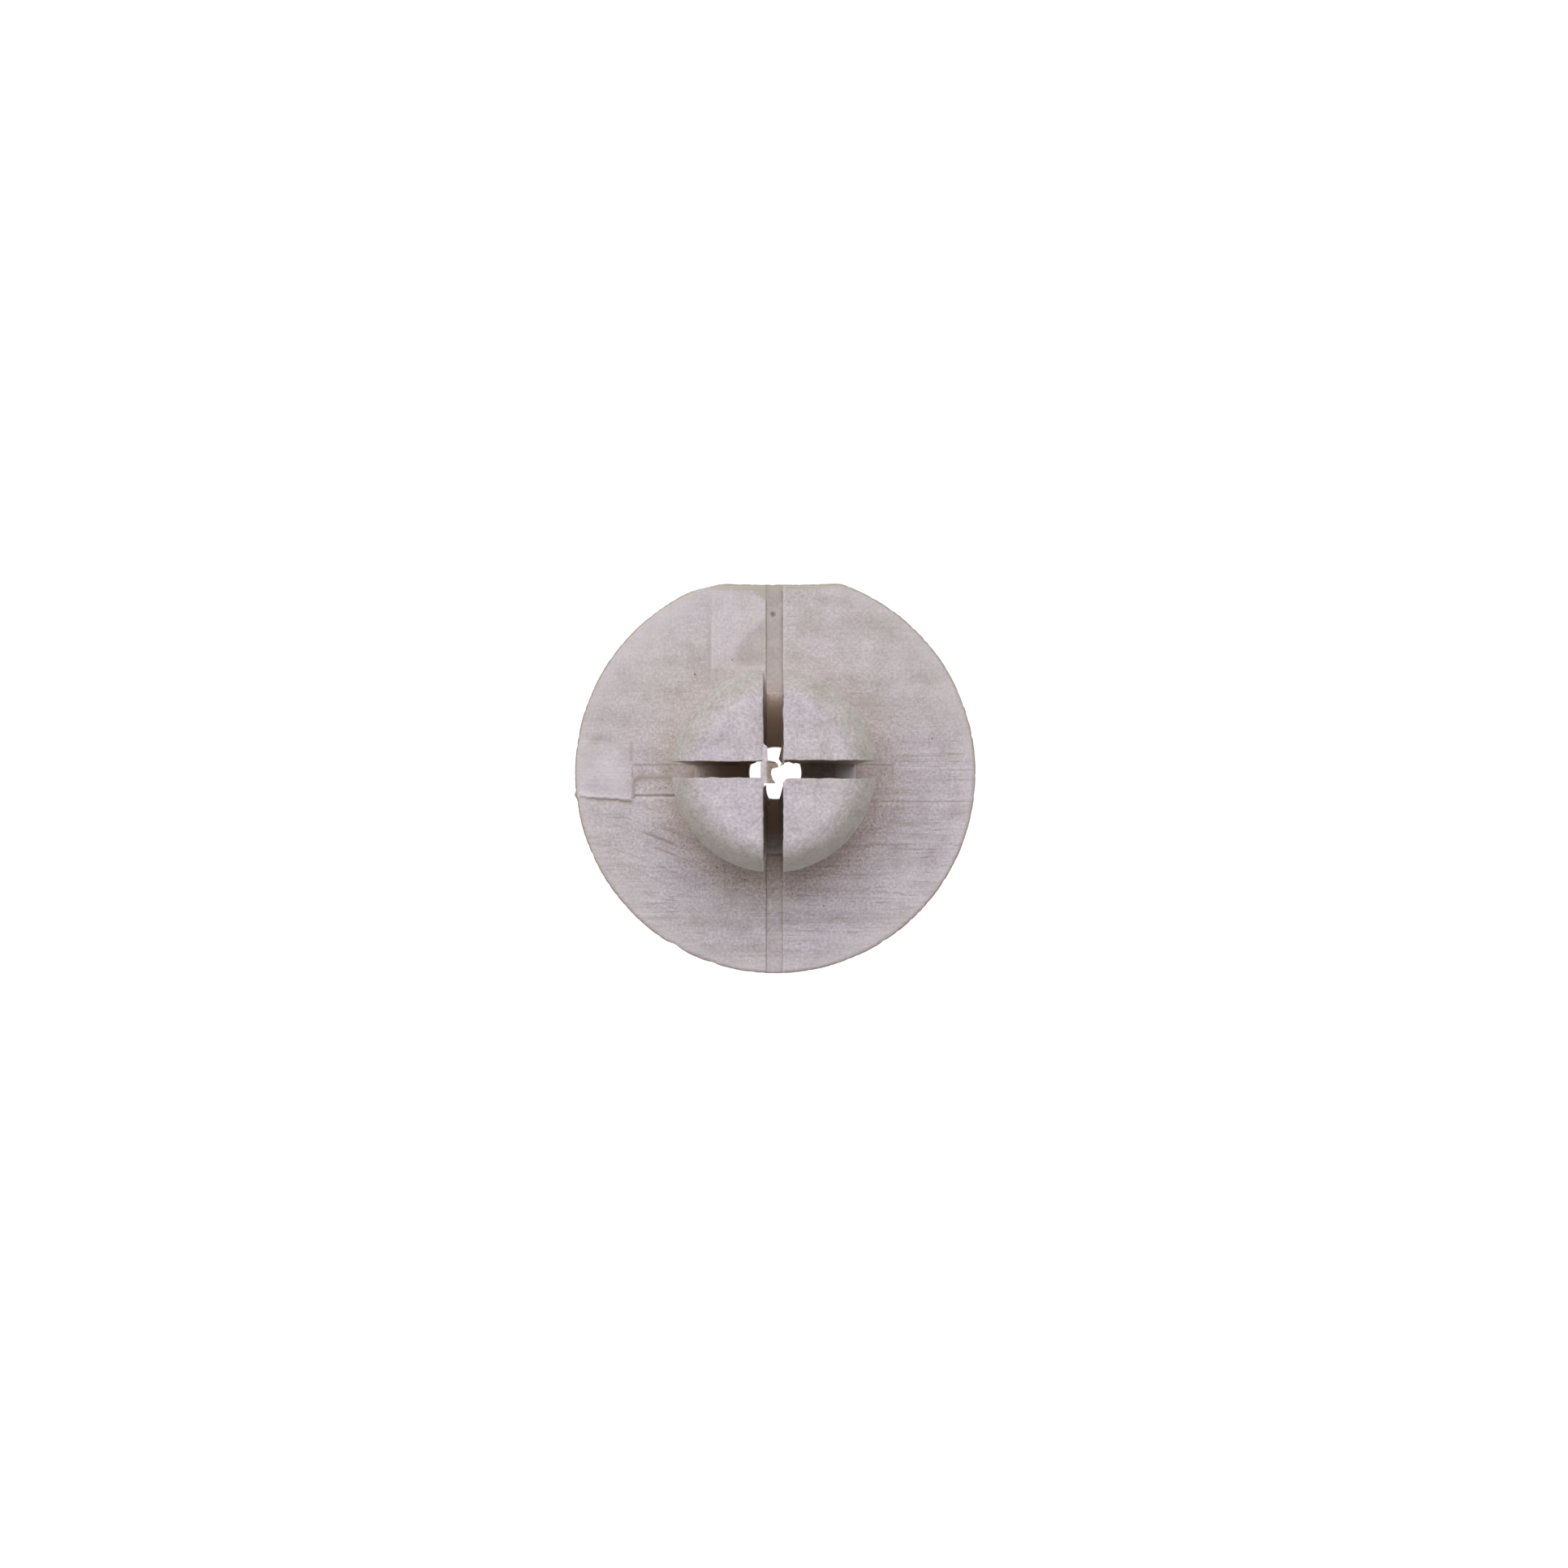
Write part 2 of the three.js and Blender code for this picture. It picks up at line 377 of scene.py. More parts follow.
class Nodes:
    """A short way to wire shader nodes."""

    def __init__(self, material):
        material.use_nodes = True
        self.tree = material.node_tree
        self.surface = self.tree.nodes["Principled BSDF"]

    def make(self, kind, settings=None, **inputs):
        node = self.tree.nodes.new(kind)
        for key, value in (settings or {}).items():
            setattr(node, key, value)
        for key, value in inputs.items():
            self.feed(node, key.replace("_", " "), value)
        return node

    def feed(self, node, key, value):
        socket = node.inputs[int(key)] if key.isdigit() else node.inputs[key]
        if isinstance(value, bpy.types.NodeSocket):
            self.tree.links.new(value, socket)
        else:
            socket.default_value = value

    def math(self, operation, *values, clamp=False):
        node = self.tree.nodes.new("ShaderNodeMath")
        node.operation = operation
        node.use_clamp = clamp
        for i, value in enumerate(values):
            self.feed(node, str(i), value)
        return node.outputs[0]

    def stretch(self, value, low, high, to_low=0.0, to_high=1.0):
        node = self.make("ShaderNodeMapRange")
        for i, x in enumerate((value, low, high, to_low, to_high)):
            self.feed(node, str(i), x)
        return node.outputs[0]

    def noise(self, place, scale, detail=3.0, roughness=0.55, stretch=None):
        if stretch:
            place = self.make("ShaderNodeMapping", None, Vector=place, Scale=stretch).outputs[0]
        node = self.make("ShaderNodeTexNoise", None, Vector=place, Scale=scale, Detail=detail)
        node.inputs["Roughness"].default_value = roughness
        return node

    def mix(self, share, first, second, blend="MIX"):
        node = self.tree.nodes.new("ShaderNodeMix")
        node.data_type = "RGBA"
        node.blend_type = blend
        self.feed(node, "0", share)
        self.feed(node, "6", first)
        self.feed(node, "7", second)
        return node.outputs[2]

    def layer(self, name):
        return self.make("ShaderNodeAttribute", {"attribute_name": name}).outputs["Fac"]


# The plastic's colours. LEVEL_GREY and LILAC_GREY alternate in patches on level faces, WARM_GREY
# is on steep ones; that split by facing is a painted colour of the light, lilac where the key
# lights fall and warm where the fill falls. SHADE_TINT multiplies the painted shade.
LILAC_GREY = (0.602, 0.535, 0.582, 1)
LEVEL_GREY = (0.595, 0.540, 0.552, 1)
WARM_GREY = (0.588, 0.552, 0.510, 1)
# Brown of the stains and tool marks, also used for painted shade.
STAIN_AND_SHADE = (0.34, 0.285, 0.245, 1)
# Painted shade: the brown of the slots' depths and of creases.
SLOT_SHADE_BROWN = (0.40, 0.27, 0.185, 1)
# Pale of rubbed spots and tool marks, also used for painted highlights.
PALE_AND_HIGHLIGHT = (0.76, 0.70, 0.725, 1)
BEIGE = (0.48, 0.440, 0.360, 1)
# Painted shade: the tint for what lies in shade.
SHADE_TINT = (1.02, 0.90, 0.79, 1)
SPECK = (0.13, 0.10, 0.09, 1)
LEVEL_FROM = (0.78, 0.965)  # the normal's Z where a face starts to count as level, and where it is
SCRATCH_TILT = 22  # degrees
BUMP_HEIGHT = 0.02
ROUGHNESS = (0.50, 0.66)
FACE_GRIT = 0.34  # how much the grain changes the brightness
SHANK_GRIT = 0.27


def tool_lines(n, place, colour, height):
    """Fine lines along X from a tool, and a patch of deeper diagonal scratches."""
    fine = n.noise(place, 1.0, 4.0, 0.75, (0.20, 5.5, 1.0)).outputs[0]
    dash = n.noise(place, 1.0, 3.0, 0.6, (0.7, 8.0, 1.0)).outputs[0]
    broad = n.noise(place, 1.0, 2.0, 0.5, (0.1, 1.3, 1.0)).outputs[0]
    worn = n.noise(place, 0.5, 2.0).outputs[0]
    where = n.math("MULTIPLY", n.stretch(worn, 0.36, 0.56, 0.25, 1.0), n.layer("lined"))
    dark = n.math("MULTIPLY", n.stretch(fine, 0.53, 0.70), where)
    light = n.math("MULTIPLY", n.stretch(fine, 0.47, 0.32), where)
    cut = n.math("MULTIPLY", n.stretch(dash, 0.60, 0.72), where)
    colour = n.mix(n.math("MULTIPLY", dark, 0.50), colour, STAIN_AND_SHADE)
    colour = n.mix(n.math("MULTIPLY", light, 0.55), colour, PALE_AND_HIGHLIGHT)
    colour = n.mix(n.math("MULTIPLY", cut, 0.45), colour, STAIN_AND_SHADE)
    colour = n.mix(n.stretch(broad, 0.5, 0.72, 0.0, 0.20), colour, STAIN_AND_SHADE)
    colour = n.mix(n.stretch(broad, 0.5, 0.30, 0.0, 0.22), colour, PALE_AND_HIGHLIGHT)
    height = n.math("ADD", height, n.math("MULTIPLY", fine, 1.6))
    height = n.math("SUBTRACT", height, cut)

    tilted = n.make("ShaderNodeMapping", None, Vector=place)
    tilted.inputs["Rotation"].default_value = (0, 0, math.radians(SCRATCH_TILT))
    score = n.noise(tilted.outputs[0], 1.0, 3.0, 0.6, (0.3, 3.6, 1.0)).outputs[0]
    deep = n.math("MULTIPLY", n.stretch(score, 0.53, 0.65), n.layer("scratched"))
    colour = n.mix(n.math("MULTIPLY", deep, 0.6), colour, STAIN_AND_SHADE)
    return colour, n.math("SUBTRACT", height, deep)


def specked(n, place, colour, height):
    """Small dark specks, each a shallow pit."""
    mark = None
    for x, y, size in SPECKS:
        near = n.make("ShaderNodeVectorMath", {"operation": "DISTANCE"})
        n.feed(near, "0", place)
        n.feed(near, "1", (x, y, FLANGE_TOP))
        dot = n.stretch(near.outputs["Value"], size * 1.15, size * 0.5)
        mark = dot if mark is None else n.math("MAXIMUM", mark, dot)
    colour = n.mix(n.math("MULTIPLY", mark, 0.8), colour, SPECK)
    return colour, n.math("SUBTRACT", height, mark)


def plastic(name, grit_range, tooled=False):
    """Worn matte plastic, mottled and dusty: lilac on level faces and warmer on steep ones as a
    painted colour of the light, with painted shade and highlights from the layers.
    """
    material = bpy.data.materials.new(name)
    n = Nodes(material)
    spot = n.make("ShaderNodeTexCoord")
    place = n.make("ShaderNodeMapping", None, Vector=spot.outputs["Object"])
    place.inputs["Scale"].default_value = (1 / MM,) * 3
    place = place.outputs[0]
    upward = n.make("ShaderNodeSeparateXYZ", None, Vector=spot.outputs["Normal"]).outputs["Z"]

    patch = n.noise(place, 0.33, 2.0).outputs[0]
    level = n.mix(n.stretch(patch, 0.4, 0.62), LEVEL_GREY, LILAC_GREY)
    # Painted colour of the light: level faces lilac as under the key lights, steep faces warm as
    # under the fill.
    colour = n.mix(n.stretch(upward, *LEVEL_FROM), WARM_GREY, level)
    cloud = n.noise(place, 1.3, 5.0, 0.62).outputs[0]
    colour = n.mix(n.stretch(cloud, 0.50, 0.72, 0.0, 0.38), colour, STAIN_AND_SHADE)
    colour = n.mix(n.stretch(cloud, 0.48, 0.30, 0.0, 0.36), colour, PALE_AND_HIGHLIGHT)
    grain = n.noise(place, 7.0, 3.0, 0.85)
    colour = n.mix(0.12, colour, grain.outputs[1], "SOFT_LIGHT")
    # The grain is coarser where the painted shade tint lies.
    spread = n.math("MULTIPLY_ADD", n.layer("warm"), grit_range, grit_range)
    coarse = n.stretch(grain.outputs[0], 0.30, 0.70, -1.0, 1.0)
    grit = n.math("MULTIPLY_ADD", coarse, spread, 1.0)
    greys = n.make("ShaderNodeCombineColor", None, **{"0": grit, "1": grit, "2": grit})
    colour = n.mix(1.0, colour, greys.outputs[0], "MULTIPLY")
    height = n.math("MULTIPLY", grain.outputs[0], 0.5)
    if tooled:
        colour, height = tool_lines(n, place, colour, height)

    # Painted shade: a warmer, darker tint where shade falls.
    colour = n.mix(n.layer("warm"), colour, SHADE_TINT, "MULTIPLY")
    # Stains, and painted shade, from the stain layer.
    colour = n.mix(n.math("MULTIPLY", n.layer("stain"), 0.55), colour, STAIN_AND_SHADE)
    colour = n.mix(n.layer("beige"), colour, BEIGE)
    # Painted shade from the slot layer: brown in the slots and creases.
    colour = n.mix(n.layer("slot"), colour, SLOT_SHADE_BROWN)
    # Rubbed pale spots, and painted highlights, from the pale layer.
    colour = n.mix(n.math("MULTIPLY", n.layer("pale"), 0.8), colour, PALE_AND_HIGHLIGHT)
    if tooled:
        colour, height = specked(n, place, colour, height)

    bump = n.make("ShaderNodeBump", None, Height=height, Distance=BUMP_HEIGHT * MM, Strength=0.6)
    n.feed(n.surface, "Base Color", colour)
    n.feed(n.surface, "Roughness", n.stretch(cloud, 0.3, 0.7, *ROUGHNESS))
    n.feed(n.surface, "Normal", bump.outputs[0])
    n.surface.inputs["Specular IOR Level"].default_value = 0.35
    return material


# ---------------------------------------------------------------- flange


def rim_reach(angle, inset):
    """How far the outline is from the axis: a circle, cut by a flat and by a trimmed corner."""
    x, y = math.cos(angle), math.sin(angle)
    reaches = [RIM_RADIUS - inset]
    if y > 0.5:
        hollow = FLAT_HOLLOW * (x / y * FLAT_MIDDLE) ** 2
        reaches.append((FLAT_MIDDLE + hollow - inset) / y)
        rise, lean = TRIM_LINE
        reaches.append((rise - inset) / (y - lean * x))
    near = sum(math.exp(-(reach - min(reaches)) / CORNER_BLEND) for reach in reaches)
    return min(reaches) - CORNER_BLEND * math.log(near)


def rim_loops():
    """Rings of points up the flange's side: both edges rounded, then straight up past the face."""
    levels = []
    for i in range(RIM_STEPS + 1):
        turn = math.pi / 2 * i / RIM_STEPS
        levels.append((RIM_ROUND * (1 - math.sin(turn)), RIM_ROUND * (1 - math.cos(turn))))
    levels += [(inset, FLANGE_TOP - z) for inset, z in reversed(levels)]
    levels.append((RIM_ROUND, FLANGE_TOP + 0.4))
    rings = []
    for inset, z in levels:
        ring = []
        for i in range(RIM_POINTS):
            angle = 2 * math.pi * (i + 0.5) / RIM_POINTS
            reach = rim_reach(angle, inset)
            x, y = reach * math.cos(angle), reach * math.sin(angle)
            bite = RIM_WAVER * (0.5 + 0.5 * noise.noise(Vector((x * 0.9, y * 0.9, 4.0))))
            bite += RIM_ROUGH * max(0, noise.noise(Vector((x * 4, y * 4, 9.0))))
            for nick_x, nick_y, width, depth in RIM_NICKS:
                away = math.hypot(x - nick_x, y - nick_y) / width
                bite += depth * math.exp(-(away**2))
            shrink = 1 - bite / math.hypot(x, y)
            ring.append((max(x * shrink, -RIM_RADIUS), y * shrink, z))
        rings.append(ring)
    return rings


def stacked(rings):
    """Points and faces of a closed stack of rings."""
    points = [p for ring in rings for p in ring]
    n = len(rings[0])
    faces = [
        (a * n + i, a * n + (i + 1) % n, (a + 1) * n + (i + 1) % n, (a + 1) * n + i)
        for a in range(len(rings) - 1)
        for i in range(n)
    ]
    faces.append(tuple(reversed(range(n))))
    faces.append(tuple(range(len(points) - n, len(points))))
    return points, faces


def grid_lines(low, high, features):
    """Evenly spaced lines, with closer ones at each feature's edge."""
    close = sorted(f + d for f in features for d in EDGE_STEPS)
    even = np.arange(low, high + GRID_STEP, GRID_STEP)
    kept = [v for v in even if min(abs(v - c) for c in close) > 0.05]
    return np.array(sorted(kept + close))


def slab(x0, x1, y0, y1, x, y, soft=0.03):
    """1 inside a rectangle of the face and 0 outside it, with soft edges."""
    across = smoothstep(x0 - soft, x0 + soft, x) * (1 - smoothstep(x1 - soft, x1 + soft, x))
    along = smoothstep(y0 - soft, y0 + soft, y) * (1 - smoothstep(y1 - soft, y1 + soft, y))
    return across * along


def chip_line(x, flat):
    """Where the flat's trimmed edge ends, which a chip beside the groove brings further in."""
    straight = flat - BEVEL_WIDTH + 0.05 * smoothstep(1, 3.2, x) + 0.015 * smoothstep(-1, -2.8, x)
    chip = np.interp(x, [CHIP_LEFT, -0.62, -0.5, CHIP_RIGHT], [0, 0.46, 0.5, 0.45])
    return straight - chip * ((x > CHIP_LEFT) & (x < CHIP_RIGHT))


def ridge(away, width):
    return np.exp(-((away / width) ** 2))


def lines(table, x, y):
    """The straight lines of a table, added up at each point."""
    total = 0 * x
    for axis, place, width, strength, (start, end) in table:
        across, along = (x, y) if axis == 0 else (y, x)
        total = total + strength * ridge(across - place, width) * (along > start) * (along < end)
    return total


def spots(table, x, y):
    """The round spots of a table, added up at each point."""
    return sum(strength * ridge(np.hypot(x - a, y - b), size) for a, b, size, strength in table)


def gate_seam(x):
    """The lower edge of the gate mark, from the rim to the tab."""
    return np.interp(x, *zip(*GATE_SEAM)) + 0.022 * np.sin(x * 11) + 0.016 * np.sin(x * 27)


def tab_border(x, y):
    """1 along the raised border that bends round the tab's top and left sides."""
    left, _, bottom, top = TAB
    away_x, away_y = (left + TAB_TURN - x).clip(0), (y - top + TAB_TURN).clip(0)
    away = np.hypot(away_x, away_y) - TAB_TURN
    inside = (x < left + 1.7) * (y > bottom - 0.15) * (y < top + 0.4)
    return ridge(away - 0.07, 0.10) * inside * (np.maximum(away_x, away_y) > 0)


def face_height(x, y, flat):
    """The height of the flange's shank-side face."""
    here = np.stack([x, y, 0 * x], 1)
    z = np.full_like(x, FLANGE_TOP - 0.004)
    z += 0.006 * waver(here, 0.5, 1) + 0.003 * waver(here * [0.4, 4.0, 1], 1.0, 2)
    z += lines(FACE_LINES, x, y)

    sway = 0.02 * waver(here * [0, 1, 0], 3.0, 5) + 0.015 * waver(here * [0, 1, 0], 9.0, 9)
    groove = smoothstep(GROOVE[0] - 0.03, GROOVE[0] + 0.03, x + sway)
    groove *= 1 - smoothstep(GROOVE[1] - 0.03, GROOVE[1] + 0.03, x + sway)
    rough = 0.010 * waver(here, 5.0, 3) + 0.006 * waver(here, 12.0, 4)
    z -= groove * (GROOVE_DEPTH + rough)
    z -= slab(*CROSS_BAND, x, y) * (1 - groove) * (CROSS_DEPTH + 0.6 * rough)
    band_edges = ridge(np.abs(y) - CROSS_BAND[3] - 0.05, 0.04) * (np.abs(x) < 7)
    z += 0.008 * band_edges * (1 - groove)

    dish = np.hypot((x + 8.6) / 1.5, (y - 0.1) / 1.4)
    z += slab(*GATE, x, y, 0.05) * (0.02 - 0.03 * np.clip(1 - dish, 0, 1))
    seam = gate_seam(x)
    z -= 0.06 * ridge(y - seam, 0.05) * (x < SEAM_END)
    bead = 0.035 + 0.03 * waver(here, 3.0, 6)
    z += bead * ridge(y - seam - 0.14, 0.09) * (x < SEAM_END)
    tab = slab(*TAB, x, y, 0.035)
    z += 0.03 * tab_border(x, y) + 0.03 * tab + 0.02 * ridge(y - TAB[2] - 0.14, 0.05) * tab

    edge = chip_line(x, flat)
    z -= BEVEL_DROP * np.clip((y - edge) / (flat - edge), 0, 1) ** 0.8
    z -= 0.012 * smoothstep(edge - 0.02, edge + 0.02, y)
    return z


def flange(low, high):
    flat = high.y
    xs = grid_lines(-GRID_REACH, GRID_REACH, CLOSE_X)
    ys = grid_lines(-GRID_REACH, GRID_REACH, CLOSE_Y)
    ys = ys[(ys < RIGHT_STEP_Y - 0.03) | (ys > RIGHT_STEP_Y + 0.03)]
    ys = np.array(sorted([*ys, *(RIGHT_STEP_Y + d for d in STEP_LINES)]))
    across, along = np.meshgrid(xs, ys)
    top = np.stack([across.ravel(), along.ravel(), 0 * across.ravel()], 1)
    top[:, 2] = face_height(top[:, 0], top[:, 1], flat)
    base = top.copy()
    base[:, 2] = low.z - 1
    faces = skin_faces(len(ys), len(xs))
    plate = object_of("flange_moulding", np.concatenate([top, base]), faces, TOOL_CREASE)
    blank = object_of("flange_blank", *stacked(rim_loops()), TOOL_CREASE)
    turn = [2 * math.pi * i / HOLE_SIDES for i in range(HOLE_SIDES)]
    rings = [[(r * math.cos(t), r * math.sin(t), z) for t in turn] for r, z in HOLE]
    drill = object_of("flange_drill", *stacked(rings), TOOL_CREASE)
    for tool, operation in ((blank, "INTERSECT"), (drill, "DIFFERENCE")):
        cut = plate.modifiers.new(operation.lower(), "BOOLEAN")
        cut.operation = operation
        cut.solver = "MANIFOLD"
        cut.object = tool
    shaped = plate.evaluated_get(bpy.context.evaluated_depsgraph_get())
    solid = bpy.data.meshes.new_from_object(shaped)
    plate.modifiers.clear()
    plate.data = solid
    for tool in (blank, drill):
        bpy.data.objects.remove(tool)
    body = bmesh.new()
    body.from_mesh(solid)
    for face in body.faces:
        face.material_index = 0
    finish_mesh(body, solid, FLANGE_CREASE)
    solid.materials.clear()
    wear_flange(plate, flat)
    return plate


def wear_flange(plate, flat):
    x, y, z = corners_of(plate).T
    r = np.hypot(x, y)
    up = z > FLANGE_TOP - 0.6
    upper = smoothstep(-2.0, 2.0, y)
    groove = slab(*GROOVE, -FAR, FAR, x, y, 0.02)
    smudge = slab(*SMUDGE, x, y, 0.2) * smoothstep(-0.2, 0.3, x + 8.3 - y)
    panel_side = slab(-4, -2, 4.9, 7.6, x, y, 0.3)
    chipped = y - chip_line(x, flat)
    trimmed = smoothstep(-0.03, 0.03, chipped)
    away = np.minimum(RIM_RADIUS - r, FLAT_MIDDLE + FLAT_HOLLOW * x**2 - y)
    # The rim's upper edge, where a painted dark line stands for the shade as the rim turns away.
    edge = smoothstep(0.13, 0.06, away) * smoothstep(1.55, 1.75, z)
    seam = y - gate_seam(x)

    # Brown: the groove and band and the outlines of the gate mark; also painted shade round the
    # nose's foot, a painted dark line along the rim's upper edge and a painted shadow line along
    # the chipped edge.
    stain = groove * (0.35 + 0.55 * upper) + 0.22 * slab(*CROSS_BAND, x, y)
    stain += lines(STAIN_LINES, x, y) + spots(STAIN_AND_SHADE_SPOTS, x, y)
    stain += 0.60 * smudge + 1.6 * ridge(seam, 0.08) * (x < SEAM_END) + 1.5 * tab_border(x, y)
    arc = np.hypot((x + 8.55) / 1.25, (y - 0.45) / 1.2) - 1
    stain += 0.8 * ridge(arc, 0.14) * smoothstep(0.9, 1.3, y) * (x < GATE_RIGHT)
    patchy = 0.55 + 0.9 * waver(np.stack([x, y, 0 * x], 1), 1.4, 8).clip(-0.5, 0.5)
    sides = ridge(x - GROOVE[0] - 0.03, 0.05) + 1.2 * ridge(x - GROOVE[1] + 0.03, 0.05)
    stain += sides * patchy * (0.7 + 0.6 * upper)
    stain += 0.55 * ridge(x - PANEL_LINE + 0.07, 0.07) * panel_side
    shadow = smoothstep(-0.10, -0.02, chipped) * smoothstep(0.06, 0.02, chipped)
    stain += 1.5 * edge + 0.5 * shadow * (x < GROOVE[0])
    # Painted shade: a shadow beside the nose on its -Y side, stronger towards -X.
    under = smoothstep(6.1, 5.0, r) * smoothstep(2.5, -2.0, y)
    stain += (0.35 + 0.40 * smoothstep(1.5, -2.5, x)) * under

    # Pale: rubbed spots and edges, the panel left of the groove, the outer part, and the painted
    # highlight lines.
    pale = 0.30 * slab(*GATE, x, y, 0.2) + lines(PAINTED_HIGHLIGHT_LINES, x, y) + spots(PALE_SPOTS, x, y)
    pale += 0.5 * ridge(seam - 0.17, 0.09) * (x < SEAM_END - 0.15)
    pale += 0.34 * slab(*PANEL, x, y, 0.04) * (1 - smudge) * (1 - trimmed)
    pale += 0.45 * ridge(x - PANEL_LINE - 0.07, 0.05) * panel_side
    pale += 0.38 * smoothstep(8.9, 9.75, r)
    pale *= (1 - edge) * (1 - 0.7 * groove)

    dusty = 0.20 * smoothstep(-2, 4, y) + 0.12 * smoothstep(8.6, 9.7, r)
    dusty += 0.15 * smoothstep(7, 5, r) * smoothstep(-1, 3, y)
    beige = 0.9 * trimmed * (1 - 0.5 * groove)
    beige += dusty * (1 - beige)
    # Painted shade: a warm tint round the nose's foot, strongest on its -Y side.
    lean = 0.5 - 0.5 * y / r.clip(0.1)
    warm = (0.2 + 0.8 * lean) * smoothstep(7.2, 4.6, r)
    lined = 1.0 - 0.6 * smoothstep(0, 5, y) + 0.55 * smoothstep(-1, -5, y)
    lined += 0.5 * smoothstep(3, 6, x) * smoothstep(3, 0, y)
    # Besides stains and rubbed spots, these layers hold painted shade round the nose, in the
    # crease at the shank's foot and along the rim's upper edge, and painted highlights along the
    # groove's right edge and the tab's lower edge.
    shade(
        plate,
        stain=np.clip(stain * up, 0, 1.5),
        pale=np.clip(pale * up, 0, 1),
        beige=beige * up,
        slot=(0.30 * smoothstep(4.7, 4.1, r) + 0.45 * edge) * up,
        warm=warm * up,
        lined=lined * up,
        scratched=spots(SCRATCHED, x, y) * up,
    )


# ---------------------------------------------------------------- collar


def collar(top):
    """The solid ring that the legs grow from."""
    outer = [(SHANK_RADIUS + out, z) for out, z in COLLAR_FOOT]
    for i in range(5):
        turn = math.pi / 2 * i / 4
        r = SHANK_RADIUS - COLLAR_ROUND * (1 - math.cos(turn))
        outer.append((r, top - COLLAR_ROUND * (1 - math.sin(turn))))
    floor = np.arange(SHANK_RADIUS - 0.3, BORE_RADIUS + 0.1, -COLLAR_RING_STEP)
    lip = [(BORE_RADIUS + 0.05, top - 0.005), (BORE_RADIUS, top - 0.04)]
    lip.append((BORE_RADIUS, COLLAR_FOOT[0][1]))
    profile = outer + [(r, top) for r in floor] + lip
    points, faces = [], []
    for i in range(COLLAR_COLUMNS):
        turn = 2 * math.pi * i / COLLAR_COLUMNS
        for r, z in profile:
            x, y = r * math.cos(turn), r * math.sin(turn)
            if z > top - 0.01:
                z += COLLAR_UNEVEN * (noise.noise(Vector((x * 3, y * 3, 5.0))) - 1)
            points.append((x, y, z))
    n = len(profile)
    for i in range(COLLAR_COLUMNS):
        a, b = i * n, (i + 1) % COLLAR_COLUMNS * n
        for k in range(n):
            faces.append((a + k, a + (k + 1) % n, b + (k + 1) % n, b + k))
    ring = object_of("root_moulding", points, faces, COLLAR_CREASE)
    wear_collar(ring, top)
    return ring


def wear_collar(ring, top):
    p = corners_of(ring)
    r = np.hypot(p[:, 0], p[:, 1])
    floor = p[:, 2] > top - 0.2
    right, back = ((p[:, i] / r.clip(0.1)).clip(0) ** 2 for i in (0, 1))
    # Painted shade: the collar's floor browner towards the bore, more so towards +Y and less on
    # the +X arm.
    slot = smoothstep(3.75 + 0.3 * back, 2.6 + 0.5 * back, r) * floor * (1 - 0.6 * right)
    # Painted highlights: along the floor's rounded rim except towards +Y, and over the +X arm's
    # floor.
    pale = 0.45 * ridge(r - SHANK_RADIUS + 0.12, 0.12) * floor * (1 - back)
    pale += 1.1 * right * smoothstep(2.8, 3.5, r) * floor
    # Painted shade: a dark line in the crease at the collar's foot.
    stain = 1.2 * ridge(r - SHANK_RADIUS - 0.04, 0.06) * (p[:, 2] < 2.1)
    beige = 0.4 * floor * (1 - right)
    # Painted shade: a warm tint on the floor, weaker on the +X arm.
    warm = floor * (1 - 0.7 * right)
    shade(ring, slot=slot, pale=pale, stain=stain, beige=beige, warm=warm)


# ---------------------------------------------------------------- legs


def nose_points(tip):
    """(radius, height) up the nose, from the shoulder to where the tip face is level."""
    low, high = (math.radians(a) for a in NOSE_SLOPES)
    runs = [(math.pi / 2, high, SHOULDER_SOFTENING, 4), (high, low, NOSE_ARC * (high - low), 26)]
    runs.append((low, 0.0, TIP_SOFTENING, 7))
    r, z, points = 0.0, 0.0, [(0.0, 0.0)]
    for start, end, length, steps in runs:
        for i in range(steps):
            slope = start + (end - start) * (i + 0.5) / steps
            r -= math.cos(slope) * length / steps
            z += math.sin(slope) * length / steps
            points.append((r, z))
    rise = points[-1][1]
    return [(NOSE_RADIUS + r, tip - rise + z) for r, z in points]


def wall_points(foot, tip):
    """(radius, height) from a leg's foot to the start of its tip face."""
    corners = [(SHANK_RADIUS, foot)]
    for z in BARB_STARTS:
        corners += [(SHANK_RADIUS, z), (SHANK_RADIUS + BARB_RISE, z + BARB_STEEP)]
    corners.append((SHANK_RADIUS, BARB_STARTS[-1] + BARB_PITCH))
    corners.append((NOSE_RADIUS, NOSE_START))
    nose = nose_points(tip)
    corners.append(nose[0])
    points = [corners[0]]
    for (r0, z0), (r1, z1) in zip(corners, corners[1:]):
        steps = max(1, round(math.hypot(r1 - r0, z1 - z0) / WALL_STEP))
        for i in range(1, steps + 1):
            points.append((r0 + (r1 - r0) * i / steps, z0 + (z1 - z0) * i / steps))
    return points + nose[1:]


def bore_radius(z):
    return np.interp(z, *zip(*BORE_PROFILE))


def spread_of_columns():
    """Shares from 0 to 1 round a leg, closer together at both ends."""
    between = LEG_COLUMNS - 2 * len(END_SHARES) + 3
    middle = np.linspace(END_SHARES[-1], 1 - END_SHARES[-1], between)[1:-1]
    return np.array([*END_SHARES, *middle, *(1 - e for e in reversed(END_SHARES))])


def on_arc(radius, angle, z):
    """Points at each angle, at the given radius and height."""
    return np.stack([radius * np.cos(angle), radius * np.sin(angle), 0 * angle + z], 1)


